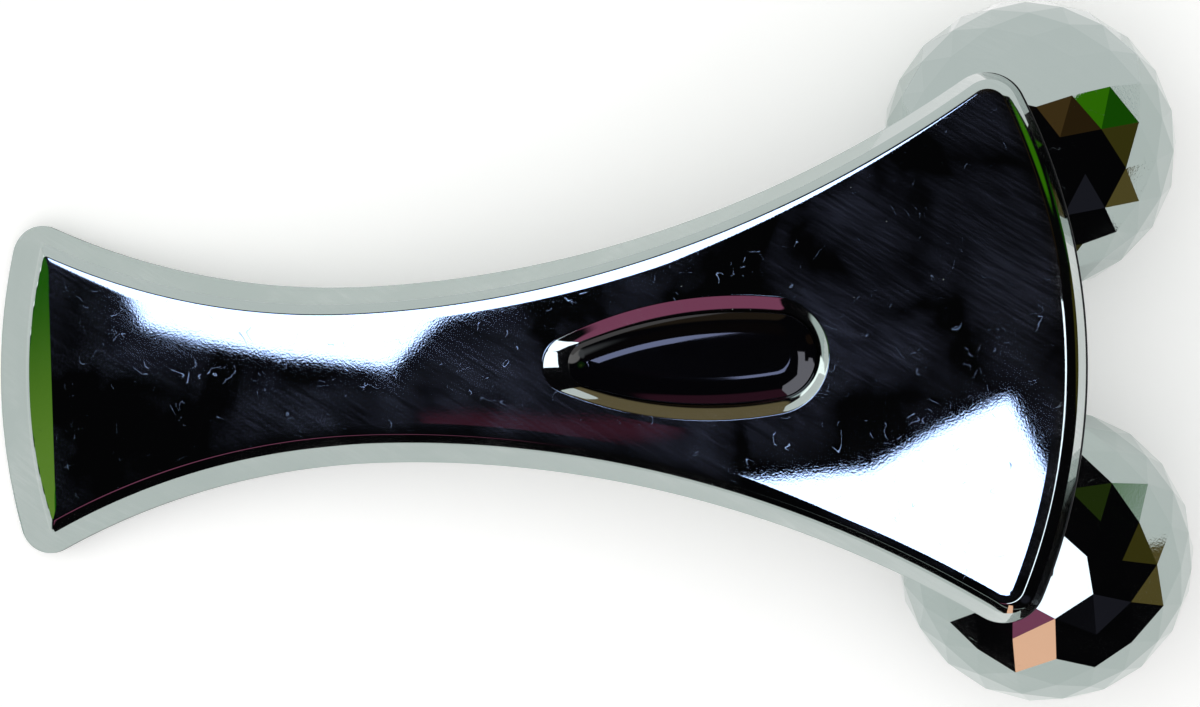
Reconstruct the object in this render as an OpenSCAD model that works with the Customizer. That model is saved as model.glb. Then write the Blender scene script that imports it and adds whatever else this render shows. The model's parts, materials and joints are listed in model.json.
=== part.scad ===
// Handheld roller massager: a chrome handle with two faceted balls on splayed axles.
// The handle is drawn in its own frame: X runs from the tail tip to the head, Y is to the left,
// Z is up, with 0 on the panel. rest() then lays it on its two balls and its tail.

/* [Handle outline] */
// Length of the handle along its own axis
handle_l = 151; // [149:0.5:153]
// Width across the narrowest place
neck_w = 23.8; // [22.5:0.1:26]
// Distance from the tail tip to the narrowest place
neck_x = 54.5; // [53:0.5:56]
// Radius of the tail's end edge
tail_arc_r = 75; // [68:1:86]
// Radius of the head's front edge
head_arc_r = 77.5; // [75:0.5:82]
// Radius of the side curves between tail and neck
tail_side_r = 107; // [103:1:112]
// Radius of the side curves between neck and head
head_side_r = 159; // [155:1:164]
// Radius of the two tail corners, seen from above
tail_corner_r = 4.4; // [3.8:0.1:5]
// Radius of the two head corners, seen from above
head_corner_r = 5.4; // [4.8:0.1:6]

/* [Rim and shells] */
// Height of the sloped rim, from the panel edge down to the parting line
rim_drop = 6; // [5.6:0.1:6.4]
// How far the rim slopes out along the sides
rim_side = 2.5; // [2.2:0.1:2.8]
// How far the rim slopes out at the tail
rim_tail = 6; // [5.5:0.1:6.6]
// How far the rim slopes out at the head
rim_head = 0.3; // [0.2:0.1:0.8]
// Width of the rounded edge between panel and rim
edge_w = 1.2; // [1:0.1:1.4]
// Wall thickness of both shells
wall = 1.8; // [1.7:0.1:2]
// Belly of the lower shell below the parting line, at the tail
belly_tail = 4.2; // [4:0.1:4.6]
// Belly of the lower shell at the neck
belly_mid = 6.5; // [6:0.1:7]
// Belly of the lower shell at the head
belly_head = 2.8; // [2.7:0.05:2.9]

/* [Balls and axles] */
// Diameter of each faceted ball
ball_d = 39.5; // [39:0.25:40]
// Length of the collar between the handle and each ball
collar_l = 4.55; // [4.2:0.05:5.5]
// Angle of each axle off the handle's centre line, seen from above
splay = 58.4; // [57.5:0.1:59.5]
// Angle of each axle below the panel
droop = 42.7; // [42.3:0.1:43.3]
// Diameter of the steel axles
axle_d = 5; // [4.8:0.1:5.2]
// Turn of the left ball's facets about its axle
left_spin = 6; // [0:1:72]
// Turn of the right ball's facets about its axle
right_spin = 48; // [0:1:72]

/* [Window] */
// Length of the black teardrop window
window_l = 33.2; // [32.4:0.2:33.8]
// Height of the window's dome above the panel
window_dome = 0.4; // [0.2:0.05:0.6]

/* [Hidden] */
$fn = 64;

chrome = [0.78, 0.79, 0.81];
steel = [0.62, 0.63, 0.65];
nylon = [0.92, 0.92, 0.88];
rubber = [0.08, 0.08, 0.09];

// Clearances and thin pieces
seal_t = 0.3;
fixed_gap = 0.02;
run_gap = 0.05;
gasket_gap = 0.5;
big = 60;

// Outline: how the panel edge differs from the parting outline below it
tail_corner_less = 3.6;
head_corner_less = 1.6;
tail_arc_less = 6;
tail_side_less = 4;
edge_drop = 1;
belly_in = 6;
belly_steps = [22.5, 45, 67.5, 90];
facet_x = 10.3;
facet_slope = 8;

// Hub: the point where the two axle lines meet, with its dome and block
hub_back = 27.2;
hub = [handle_l - hub_back, 0, 0];
dome_r = 19.5;
dome_wall = 2;
dome_floor = -14;
land_s = dome_r - 0.5;
block_r = dome_r - dome_wall - 0.4;
block_plan_r = 15.5;
block_top = -5;
slot_floor = -6.4;
block_screw_dx = 5;
slot_w = 5.6;
root_s = 8.5;
grub_s = 13.5;
grub_r = 1.5;
grub_l = 3;
flat_cut = 0.5;

// Ball, along its axle from the ball's centre outward
ball_r = ball_d / 2;
cavity_r = ball_r - 2.2;
pole_flat = ball_r - 0.6;
bush_face = pole_flat + 0.2;
bush_r = 3.9;
bush_flange_r = 4.6;
bush_flange_t = 1;
bush_l = 9;
tube_r = 5.2;
tube_end = 7;
socket_r = 6.9;
washer_t = 0.6;
collar_end = land_s + collar_l;
arm_l = collar_end + washer_t + run_gap + bush_face;
collar_r = 5;
collar_tip_r = 4.4;
groove_r = 1.9;
groove_z = tube_end + bush_flange_t + 0.1;
clip_t = 0.6;
clip_r = 4.2;
axle_tip = groove_z + 1.8;
freq = 4;

// Window places along the handle
window_x = hub[0] - 40.1;
window_tip_r = 2.9;
window_end_r = 5.4;
window_side_r = 60;
frame_in = 3.1;
frame_tip_r = 3.6;
frame_end_r = 7.8;
frame_side_r = 50;
crown_in = 2.5;
round_in = 1.4;
edge_in = 0.5;
crown_edge_drop = 0.55;
gasket_t = 0.46;
gasket_drop = 1.5;
recess_z = -1.3;
seat_z = -2.6;
pad_z = -3.8;
pad_out = 2.5;
cell_l = 22;
cell_w = 7.6;
cell_x = window_x + 17.8;
tape_t = 0.25;

// Fasteners: six shell screws, and the terminal screw
lug_x = window_x - 11.7;
tail_screw_x = 20;
lug_to_screw = 10;
screw_places = [[tail_screw_x, 0], [lug_x - lug_to_screw, 0],
    for (pair = [[hub[0] - 19.8, 0.616], [hub[0] + 10.2, 0.65]], side = [1, -1])
        [pair[0], side * pair[1] * half_width(pair[0])]];
boss_z = -5;
boss_r = 3;
boss_hole_z = -2.2;
screw_tip_z = -2.4;
block_screw_grip = 3.4;
screw_r = 1.1;
head_r = 2.2;
head_h = 1.4;
plug_t = 0.8;
plug_sunk = 0.05;
plug_r = 2.7;
lug_boss_z = -3.4;
lug_t = 0.4;
lug_r = 2.3;
lug_tail = 8;
lug_w = 1.8;
block_shank_r = 1.25;
lead_r = 0.45;
lead_sag = 1;
lead_side = 2;
lead_on_lug = 4;
lead_under_cell = 6.7;
lead_past_middle = 2.5;
lead_short = 0.8;

// Rest: the tail's flat land and both balls touch the ground
land_cut = 0.25;
contact_x = belly_in * (1 - cos(belly_steps[2]));
contact = [contact_x, 0, -rim_drop - belly(contact_x) * sin(belly_steps[2])];
ball_at = hub + arm_l * [cos(droop) * cos(splay), cos(droop) * sin(splay), -sin(droop)];
reach = [ball_at[0] - contact[0], ball_at[2] - contact[2]];
tilt = asin((ball_r + land_cut) / norm(reach)) - atan2(reach[1], reach[0]);
ground = [sin(tilt), 0, cos(tilt)];
lift = -contact * ground - land_cut;
middle_x = (rim_drop * sin(tilt) + ball_at[0] * cos(tilt) - ball_at[2] * sin(tilt) + ball_r) / 2;

// One of the two points at r1 from c1 and r2 from c2; turn picks the side
function meet(c1, r1, c2, r2, turn) =
    let (v = c2 - c1, d = norm(v), a = (r1 * r1 - r2 * r2 + d * d) / (2 * d), e = v / d)
    c1 + a * e + turn * sqrt(r1 * r1 - a * a) * [-e[1], e[0]];

function heading(v) = atan2(v[1], v[0]);
function mix(a, b, t) = a + (b - a) * t;
function unit(v) = v / norm(v);

// n points along an arc, without its last one
function arc(c, r, a0, a1, n) =
    [for (i = [0 : n - 1]) let (a = mix(a0, a1, i / n)) c + r * [cos(a), sin(a)]];

// Left half of the handle's outline, from tail tip to head tip.
// rise goes from 0 at the parting line to 1 at the panel edge, and inset moves it inward.
function half_outline(rise, inset) =
    let (tail_c = max(0.4, tail_corner_r - tail_corner_less * rise - inset),
        head_c = max(0.4, head_corner_r - head_corner_less * rise - inset),
        tail_r = tail_arc_r - tail_arc_less * rise - inset,
        head_r = head_arc_r - inset,
        side_t = tail_side_r - tail_side_less * rise + inset,
        side_h = head_side_r + inset,
        half_neck = neck_w / 2 - rim_side * rise - inset,
        head_x = handle_l - rim_head * rise - inset,
        ct = [rim_tail * rise + inset + tail_r, 0],
        ch = [head_x - head_r, 0],
        st = [neck_x, half_neck + side_t],
        sh = [neck_x, half_neck + side_h],
        kt = meet(ct, tail_r - tail_c, st, side_t + tail_c, 1),
        kh = meet(ch, head_r - head_c, sh, side_h + head_c, -1),
        at = heading(kt - ct), bt = heading(st - kt),
        ah = heading(kh - ch), bh = heading(sh - kh))
    concat(arc(ct, tail_r, 180, at, 5), arc(kt, tail_c, at, bt, 4),
        arc(st, side_t, bt - 180, -90, 8), arc(sh, side_h, -90, bh - 180, 12),
        arc(kh, head_c, bh, ah, 4), arc(ch, head_r, ah, 0, 8),
        [[head_x, 0]]);

// Left half of a teardrop: small tip toward the tail, round end toward the head
function half_drop(x0, length, tip_r, end_r, side_r, grow) =
    let (c1 = [x0 + tip_r, 0], c2 = [x0 + length - end_r, 0],
        s = meet(c1, side_r - tip_r, c2, side_r - end_r, -1),
        a1 = heading(c1 - s), a2 = heading(c2 - s))
    concat(arc(c1, tip_r + grow, 180, a1, 5), arc(s, side_r + grow, a1, a2, 8),
        arc(c2, end_r + grow, a2, 0, 7), [[x0 + length + grow, 0]]);

function window_half(grow) =
    half_drop(window_x, window_l, window_tip_r, window_end_r, window_side_r, grow);
function frame_half() = half_drop(window_x - frame_in, window_l + 2 * frame_in - 0.6,
    frame_tip_r, frame_end_r, frame_side_r, 0);

// Half of the handle's width at x, between neck and head
function half_width(x) =
    neck_w / 2 + head_side_r - sqrt(head_side_r * head_side_r - (x - neck_x) * (x - neck_x));

// Depth of the lower shell's belly at x
function ease(t) = (1 - cos(180 * min(1, max(0, t)))) / 2;
function belly(x) = x < neck_x ? mix(belly_tail, belly_mid, ease(x / neck_x))
    : mix(belly_mid, belly_head, ease((x - neck_x) / (hub[0] - 9 - neck_x)));

// A half outline becomes a whole closed ring at height z, less a share of the belly
function whole(half) = concat(half, [for (i = [len(half) - 2 : -1 : 1]) [half[i][0], -half[i][1]]]);
function ring(half, z, share = 0) =
    [for (p = whole(half)) [p[0], p[1], z - (share == 0 ? 0 : share * belly(p[0]))]];

// Solid through a row of rings, capped at both ends or joined in a loop
module loft(rings, loop = false) {
    n = len(rings[0]);
    k = len(rings);
    m = n / 2;
    last = (k - 1) * n;
    walls = [for (j = [0 : k - (loop ? 1 : 2)], i = [0 : n - 1])
        let (u = j * n, v = ((j + 1) % k) * n, w = (i + 1) % n)
        each [[u + i, v + i, v + w], [u + i, v + w, u + w]]];
    strips = [for (i = [0 : m - 1])
        each i == 0 ? [[0, 1, n - 1]] : i == m - 1 ? [[i, m, m + 1]]
            : [[i, i + 1, n - i - 1], [i, n - i - 1, n - i]]];
    caps = loop ? [] : concat(strips, [for (s = strips) [s[2] + last, s[1] + last, s[0] + last]]);
    polyhedron([for (r = rings) each r], concat(walls, caps));
}

// Lays the whole object on the ground, with its middle over the origin
module rest() {
    translate([-middle_x, 0, lift]) rotate([0, -tilt, 0]) children();
}

// Puts +Z along the left (side 1) or right (side -1) axle, from the hub point
module at_axle(side) {
    rest() translate(hub) rotate([0, 90 + droop, side * splay]) children();
}

// Same, from the ball's centre and with the ball's facets turned
module at_ball(side) {
    at_axle(side) translate([0, 0, arm_l]) rotate([0, 0, side > 0 ? left_spin : right_spin])
        children();
}

// Cylinder between two heights
module rod(r, z0, z1) {
    translate([0, 0, z0]) cylinder(r = r, h = z1 - z0);
}

// Everything between two heights
module slab(z0, z1) {
    translate([-big, -big, z0]) cube([4 * big, 2 * big, z1 - z0]);
}

// Cross recess of a small screw, cut downward from z = 0
module cross_recess() {
    for (a = [0, 90]) rotate([0, 0, a]) translate([-1.2, -0.25, -0.8]) cube([2.4, 0.5, 1]);
}

module axle_hole(side, r, s0, s1) {
    translate(hub) rotate([0, 90 + droop, side * splay]) rod(r, s0, s1);
}

// Chrome upper shell: panel, sloped rim, teardrop recess, screw bosses inside
module upper_shell() {
    shell = [
        for (a = [0, 45, 90]) ring(half_outline(1, edge_w * (1 - sin(a))), edge_drop * (cos(a) - 1)),
        ring(half_outline(0.5, 0), -rim_drop * 0.5),
        ring(half_outline(0, 0), -rim_drop + seal_t / 2),
        ring(half_outline(0, wall), -rim_drop + seal_t / 2),
        ring(half_outline(1, wall), -wall)];
    recess = [ring(frame_half(), 1), ring(frame_half(), 0),
        ring(window_half(gasket_gap), recess_z), ring(window_half(gasket_gap), seat_z)];
    color(chrome) rest() difference() {
        union() {
            loft(shell);
            translate([0, 0, pad_z]) linear_extrude(-pad_z - wall / 2)
                polygon(whole(window_half(pad_out)));
            for (p = screw_places) translate(p) rod(boss_r, boss_z, -wall / 2);
            translate([lug_x, 0, 0]) rod(boss_r, lug_boss_z, -wall / 2);
        }
        loft(recess);
        translate([cell_x - cell_l / 2 - 0.3, -cell_w / 2 - 0.3, pad_z - 1])
            cube([cell_l + 0.6, cell_w + 0.6, 3]);
        for (p = screw_places) translate(p) rod(screw_r + fixed_gap, boss_z - 1, boss_hole_z);
        translate([lug_x, 0, 0]) rod(screw_r + fixed_gap, lug_boss_z - 1, -1);
        translate([facet_x, 0, 0]) rotate([0, -facet_slope, 0])
            translate([-big / 2, -big / 2, 0]) cube([big / 2, big, 5]);
    }
}

// Chrome lower shell: rounded belly, hub dome with its axle holes, screw posts, flat tail land
module lower_shell() {
    inner = [
        ring(half_outline(0, wall + belly_in * 0.7), wall - rim_drop, 1),
        ring(half_outline(0, wall + 0.6), -rim_drop + wall * 0.6, 0.6),
        ring(half_outline(0, wall), -rim_drop - seal_t / 2)];
    outer = [ring(half_outline(0, 0), -rim_drop - seal_t / 2),
        for (a = belly_steps) ring(half_outline(0, belly_in * (1 - cos(a))), -rim_drop, sin(a))];
    color(chrome) rest() difference() {
        union() {
            loft(concat(inner, outer));
            intersection() {
                translate(hub) sphere(r = dome_r);
                slab(-big, -rim_drop - belly_head + 0.4);
            }
            for (p = screw_places) translate(p) rod(boss_r, -rim_drop - belly(p[0]) + 0.5, boss_z);
        }
        intersection() {
            translate(hub) sphere(r = dome_r - dome_wall);
            slab(dome_floor, boss_z);
        }
        for (side = [-1, 1]) {
            axle_hole(side, axle_d / 2 + 0.1, root_s, 2 * dome_r);
            axle_hole(side, collar_r + 0.05, land_s, 2 * dome_r);
        }
        for (dx = [-block_screw_dx, block_screw_dx])
            translate(hub + [dx, 0, 0]) rod(block_shank_r + fixed_gap, dome_floor - block_screw_grip - 0.1, boss_z);
        for (p = screw_places) translate(p) {
            rod(screw_r + 0.3, -big, boss_z + 1);
            rod(plug_r + fixed_gap, -big, head_seat(p[0]));
        }
        translate(contact + land_cut * ground) rotate([0, tilt, 0])
            translate([-big / 2, -big / 2, -big / 2]) cube([big, big, big / 2]);
    }
}

// Height of the shoulder that a shell screw's head bears on
function head_seat(x) = -rim_drop - belly(x) + head_h + plug_t;

module parting_seal() {
    color(rubber) rest() loft([for (e = [[0.4, 1], [1.4, 1], [1.4, -1], [0.4, -1]])
        ring(half_outline(0, e[0]), -rim_drop - e[1] * seal_t / 2)], loop = true);
}

// Black domed window
module solar_window() {
    color([0.02, 0.02, 0.03]) rest() loft([
        ring(window_half(-crown_in), window_dome),
        ring(window_half(-round_in), window_dome * 0.7),
        ring(window_half(-edge_in), 0),
        ring(window_half(0), -crown_edge_drop),
        ring(window_half(0), seat_z)]);
}

module window_gasket() {
    outer = fixed_gap + gasket_t;
    color(rubber) rest() loft([for (e = [[outer, -gasket_drop], [fixed_gap, -gasket_drop],
        [fixed_gap, seat_z], [outer, seat_z]]) ring(window_half(e[0]), e[1])], loop = true);
}

module solar_cell() {
    color([0.1, 0.07, 0.12]) rest() translate([cell_x - cell_l / 2, -cell_w / 2, pad_z])
        cube([cell_l, cell_w, seat_z - pad_z]);
}

module cell_tape() {
    tape_l = cell_l + 4.5;
    tape_w = cell_w + 2.8;
    color([0.85, 0.72, 0.3]) rest() translate([cell_x - tape_l / 2, -tape_w / 2, pad_z - tape_t])
        cube([tape_l, tape_w, tape_t]);
}

// Lead wire along a curve with four guide points, rings square to X
module lead(guide, tone) {
    function at(t) = pow(1 - t, 3) * guide[0] + 3 * t * pow(1 - t, 2) * guide[1]
        + 3 * t * t * (1 - t) * guide[2] + pow(t, 3) * guide[3];
    color(tone) rest() loft([for (i = [0 : 8]) [for (a = [0 : 45 : 315])
        at(i / 8) + lead_r * [0, cos(a), sin(a)]]]);
}

tape_bottom = pad_z - tape_t - lead_r;

// From the cell to the block: the side of the circuit that reaches the balls
module lead_positive() {
    from_x = cell_x + lead_past_middle;
    to_x = hub[0] - block_screw_dx - lug_tail + lead_on_lug - lead_short;
    lug_top = slot_floor + lug_t + lead_r;
    lead([[from_x, lead_side, tape_bottom], [(from_x + to_x) / 2, lead_side, tape_bottom],
        [(from_x + to_x) / 2, 0, lug_top], [to_x, 0, lug_top]], [0.7, 0.1, 0.08]);
}

// From the cell to the upper shell: the side that reaches the hand
module lead_negative() {
    from_x = lug_x + lead_on_lug;
    to_x = cell_x - cell_l / 2 + lead_under_cell;
    lug_bottom = lug_boss_z - lug_t - lead_r;
    lead([[from_x, 0, lug_bottom], [mix(from_x, to_x, 0.35), 0, lug_bottom - lead_sag],
        [mix(from_x, to_x, 0.65), -lead_side, tape_bottom - lead_sag],
        [to_x, -lead_side, tape_bottom]], [0.06, 0.06, 0.07]);
}

// Ring terminal around a screw, its tail pointing along X
module lug(tail) {
    difference() {
        union() {
            cylinder(r = lug_r, h = lug_t);
            translate([min(0, tail), -lug_w / 2, 0]) cube([abs(tail), lug_w, lug_t]);
        }
        rod(block_shank_r + 0.1, -1, 1);
    }
}

module block_lug() {
    color("gold") rest() translate(hub + [-block_screw_dx, 0, slot_floor]) lug(-lug_tail);
}

module shell_lug() {
    color("gold") rest() translate([lug_x, 0, lug_boss_z - lug_t]) lug(lug_tail);
}

module terminal_screw() {
    color(steel) rest() translate([lug_x, 0, lug_boss_z - lug_t]) rotate([180, 0, 0])
        small_screw(screw_r, 2.6);
}

// Pan-head screw standing on its head seat at z = 0, shank downward
module small_screw(r, length) {
    difference() {
        union() {
            rod(head_r, 0, head_h);
            rod(r, -length, 0.1);
        }
        translate([0, 0, head_h]) cross_recess();
    }
}

// Metal block in the hub dome that carries both axles
module axle_block() {
    color([0.55, 0.56, 0.58]) rest() difference() {
        intersection() {
            translate(hub) sphere(r = block_r);
            translate(hub) rod(block_plan_r, dome_floor, block_top);
        }
        translate(hub + [-2 * block_r, -slot_w / 2, slot_floor])
            cube([2 * block_r - block_screw_dx + slot_w / 2, slot_w, block_r]);
        for (dx = [-block_screw_dx, block_screw_dx])
            translate(hub + [dx, 0, 0]) rod(block_shank_r + 0.1, -big, 0);
        for (side = [-1, 1]) {
            axle_hole(side, axle_d / 2 + fixed_gap, root_s, 2 * dome_r);
            translate(hub) rotate([0, 90 + droop, side * splay]) translate([0, 0, grub_s])
                rotate([0, -90, 0]) rod(grub_r + fixed_gap, axle_d / 2 - flat_cut - 0.1, 12);
        }
    }
}

module block_screws() {
    color(steel) rest() {
        translate(hub + [-block_screw_dx, 0, slot_floor + lug_t])
            small_screw(block_shank_r, slot_floor + lug_t - dome_floor + block_screw_grip);
        translate(hub + [block_screw_dx, 0, block_top])
            small_screw(block_shank_r, block_top - dome_floor + block_screw_grip);
    }
}

module shell_screws() {
    color(steel) rest() for (p = screw_places) translate([p[0], p[1], head_seat(p[0])])
        rotate([180, 0, 0]) small_screw(screw_r, screw_tip_z - head_seat(p[0]));
}

module screw_plugs() {
    color(chrome) rest() for (p = screw_places) translate(p)
        rod(plug_r, -rim_drop - belly(p[0]) + plug_sunk, head_seat(p[0]) - head_h);
}

// Steel axle: root in the block with a flat for the grub screw, clip groove near its tip
module axle(side) {
    tip = arm_l + axle_tip;
    color(steel) at_axle(side) difference() {
        union() {
            rod(axle_d / 2, root_s, tip - 0.5);
            translate([0, 0, tip - 0.5]) cylinder(r1 = axle_d / 2, r2 = axle_d / 2 - 0.5, h = 0.5);
        }
        translate([-axle_d, -axle_d, grub_s - grub_r - 0.3])
            cube([axle_d / 2 + flat_cut, 2 * axle_d, 2 * grub_r + 0.6]);
        difference() {
            rod(axle_d, arm_l + groove_z - 0.03, arm_l + groove_z + clip_t + 0.03);
            rod(groove_r, 0, tip);
        }
    }
}

module grub_screw(side) {
    color([0.15, 0.15, 0.16]) at_axle(side) translate([0, 0, grub_s]) rotate([0, -90, 0])
        translate([0, 0, axle_d / 2 - flat_cut]) difference() {
            cylinder(r = grub_r, h = grub_l);
            translate([0, 0, grub_l - 1.4]) cylinder(r = 0.85, h = 2, $fn = 6);
        }
}

// Chrome collar between the hub dome and the ball
module collar(side) {
    color(chrome) at_axle(side) difference() {
        translate([0, 0, land_s])
            cylinder(r1 = collar_r, r2 = collar_tip_r, h = collar_end - land_s);
        rod(axle_d / 2 + 0.06, 0, arm_l);
        rod(collar_r - 1, 0, land_s + 1.2);
    }
}

module axle_seal(side) {
    color(rubber) at_axle(side) difference() {
        rod(collar_r - 1 - fixed_gap, land_s, land_s + 1.2);
        rod(axle_d / 2 + fixed_gap, 0, arm_l);
    }
}

// Icosahedron corners with one on +Z: upper five and lower five
function upper_five(s) = [2 * cos(72 * s), 2 * sin(72 * s), 1] / sqrt(5);
function lower_five(s) = [2 * cos(72 * s + 36), 2 * sin(72 * s + 36), -1] / sqrt(5);

// Row k of the facet corners on a unit ball: 0 is the pole, 3 * freq / 2 the equator
function facet_row(k) = k == 0 ? [[0, 0, 1]]
    : k <= freq ? [for (s = [0 : 4], j = [0 : k - 1]) let (pole = [0, 0, 1],
        a = mix(pole, upper_five(s), k / freq), b = mix(pole, upper_five(s + 1), k / freq))
        unit(mix(a, b, j / k))]
    : let (m = k - freq) [for (s = [0 : 4], j = [0 : freq - 1])
        let (a = mix(upper_five(s), lower_five(s), m / freq),
            b = mix(upper_five(s + 1), lower_five(s), m / freq),
            c = mix(upper_five(s + 1), lower_five(s + 1), m / freq))
        unit(j < freq - m ? mix(a, b, j / (freq - m)) : mix(b, c, (j - freq + m) / m))];

// Half ball of flat triangular facets, from its equator at z = 0 up to its pole
module half_ball() {
    rows = 3 * freq / 2;
    function size(k) = k == 0 ? 1 : 5 * min(k, freq);
    function start(k) = k == 0 ? 0 : start(k - 1) + size(k - 1);
    function id(k, i) = start(k) + i % size(k);
    cap = [for (k = [0 : freq - 1], s = [0 : 4], j = [0 : k])
        each [[id(k + 1, s * (k + 1) + j), id(k, s * k + j), id(k + 1, s * (k + 1) + j + 1)],
            if (j < k) [id(k, s * k + j), id(k, s * k + j + 1), id(k + 1, s * (k + 1) + j + 1)]]];
    band = [for (k = [freq : rows - 1], i = [0 : 5 * freq - 1])
        each [[id(k, i), id(k, i + 1), id(k + 1, i)],
            [id(k + 1, i), id(k, i + 1), id(k + 1, i + 1)]]];
    equator = [for (i = [0 : 5 * freq - 1]) id(rows, i)];
    polyhedron([for (k = [0 : rows], p = facet_row(k)) ball_r * p], concat(cap, band, [equator]));
}

// Ball half on the hub side, with the bearing tube and the glue lip
module ball_inner(side) {
    color(chrome) at_ball(side) difference() {
        union() {
            difference() {
                rotate([0, 0, 180]) mirror([0, 0, 1]) half_ball();
                sphere(r = cavity_r);
            }
            rod(tube_r, -pole_flat + 1.5, tube_end);
            difference() {
                rod(cavity_r - 0.1, -2.5, 1.6);
                rod(cavity_r - 1, -3, 2);
            }
        }
        rod(bush_r + fixed_gap, -ball_d, ball_d);
        rod(bush_flange_r + 0.1, -ball_d, bush_flange_t - bush_face);
        rod(ball_r / 2, -ball_d, -pole_flat);
    }
}

// Outer ball half, with the socket that fits over the bearing tube
module ball_outer(side) {
    color(chrome) at_ball(side) difference() {
        union() {
            difference() {
                half_ball();
                sphere(r = cavity_r);
            }
            rod(socket_r, 1, cavity_r - 0.5);
        }
        rod(tube_r + 0.1, 0, tube_end + 6);
    }
}

// Flanged nylon bush: its flange starts at z = 0 and its sleeve runs to z = length
module bush(length) {
    difference() {
        union() {
            rod(bush_flange_r, 0, bush_flange_t);
            rod(bush_r, 0, length);
        }
        rod(axle_d / 2 + run_gap, -1, length + 1);
    }
}

module bush_inner(side) {
    color(nylon) at_ball(side) translate([0, 0, -bush_face]) bush(bush_l + bush_flange_t);
}

module bush_outer(side) {
    color(nylon) at_ball(side) translate([0, 0, tube_end + bush_flange_t]) rotate([180, 0, 0])
        bush(bush_l + bush_flange_t);
}

module washer(side) {
    color(nylon) at_axle(side) difference() {
        rod(collar_tip_r - 0.1, collar_end, collar_end + washer_t);
        rod(axle_d / 2 + fixed_gap, 0, arm_l);
    }
}

// Open retaining clip in the axle's groove
module clip(side) {
    color(steel) at_ball(side) translate([0, 0, groove_z]) difference() {
        cylinder(r = clip_r, h = clip_t);
        rod(groove_r + fixed_gap, -1, clip_t + 1);
        translate([0, -groove_r, -1]) cube([2 * clip_r, 2 * groove_r, clip_t + 2]);
    }
}

upper_shell();
lower_shell();
parting_seal();
solar_window();
window_gasket();
solar_cell();
cell_tape();
lead_positive();
lead_negative();
block_lug();
shell_lug();
terminal_screw();
axle_block();
block_screws();
shell_screws();
screw_plugs();
axle(1);  // axle_left
axle(-1);  // axle_right
grub_screw(1);  // grub_screw_left
grub_screw(-1);  // grub_screw_right
collar(1);  // collar_left
collar(-1);  // collar_right
axle_seal(1);  // axle_seal_left
axle_seal(-1);  // axle_seal_right
ball_inner(1);  // ball_inner_left
ball_inner(-1);  // ball_inner_right
ball_outer(1);  // ball_outer_left
ball_outer(-1);  // ball_outer_right
bush_inner(1);  // bush_inner_left
bush_inner(-1);  // bush_inner_right
bush_outer(1);  // bush_outer_left
bush_outer(-1);  // bush_outer_right
washer(1);  // washer_left
washer(-1);  // washer_right
clip(1);  // clip_left
clip(-1);  // clip_right
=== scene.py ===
"""Handheld roller massager: plated shells, faceted balls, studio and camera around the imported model."""
import json
import bmesh
import bpy
import numpy as np
from mathutils import Euler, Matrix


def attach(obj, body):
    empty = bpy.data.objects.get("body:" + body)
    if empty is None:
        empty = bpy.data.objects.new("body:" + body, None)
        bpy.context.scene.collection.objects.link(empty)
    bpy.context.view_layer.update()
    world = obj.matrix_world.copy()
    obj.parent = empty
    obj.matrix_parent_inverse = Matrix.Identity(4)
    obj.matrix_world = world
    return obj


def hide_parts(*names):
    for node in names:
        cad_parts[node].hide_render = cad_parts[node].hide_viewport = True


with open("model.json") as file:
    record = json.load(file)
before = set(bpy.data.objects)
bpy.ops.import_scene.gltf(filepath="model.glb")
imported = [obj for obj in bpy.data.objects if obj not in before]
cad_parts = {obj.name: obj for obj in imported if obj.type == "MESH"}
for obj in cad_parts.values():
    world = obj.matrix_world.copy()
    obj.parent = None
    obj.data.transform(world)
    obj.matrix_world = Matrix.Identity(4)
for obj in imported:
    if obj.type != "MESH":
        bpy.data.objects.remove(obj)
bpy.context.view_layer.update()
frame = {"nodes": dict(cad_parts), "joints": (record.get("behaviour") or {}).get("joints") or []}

# Camera
# Looks straight down from half a metre, a little from the right-ball side, as the photograph does.
# The object's length runs across the picture, tail to the left.
EYE_LENS = 111.888
EYE_SENSOR = 36
EYE_NEAREST = 0.01
EYE_FARTHEST = 50
EYE_PLACE = (0.00007, -0.01359, 0.51944)
EYE_TURN = (1.7606, -0.1983, -2.0925)
eye = bpy.data.cameras.new("eye")
eye.lens = EYE_LENS
eye.sensor_width = EYE_SENSOR
eye.clip_start = EYE_NEAREST
eye.clip_end = EYE_FARTHEST
camera = bpy.data.objects.new("camera", eye)
camera.location = EYE_PLACE
camera.rotation_euler = Euler(np.radians(EYE_TURN))
bpy.context.scene.collection.objects.link(camera)
bpy.context.scene.camera = camera
bpy.context.scene.view_settings.view_transform = "Standard"

# Studio floor
# A seamless pale board, lit by one very large soft lamp overhead, so that only a faint shadow shows.
# Its light share that cameras and mirrors see keeps it white without more light on the object.
FLOOR_COLOUR = "F6F6F5"
FLOOR_REACH = 6.0
FLOOR_STEPS = 9
FLOOR_GLOW = 0.24
LAMP_ENERGY = 0.8 * np.pi
LAMP_SPREAD = 80
LAMP_TILT = (8, -6)
MERGE_WITHIN = 2e-6
SLIVER = 1e-7


def linear(hexcode):
    """sRGB hex to linear RGBA: a channel c becomes ((c + 0.055) / 1.055) to the power 2.4,
    or c / 12.92 where it is dark."""
    c = np.array([int(hexcode[i:i + 2], 16) for i in (0, 2, 4)]) / 255
    c = np.where(c > 0.04045, ((c + 0.055) / 1.055) ** 2.4, c / 12.92)
    return (*c.tolist(), 1.0)


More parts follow.
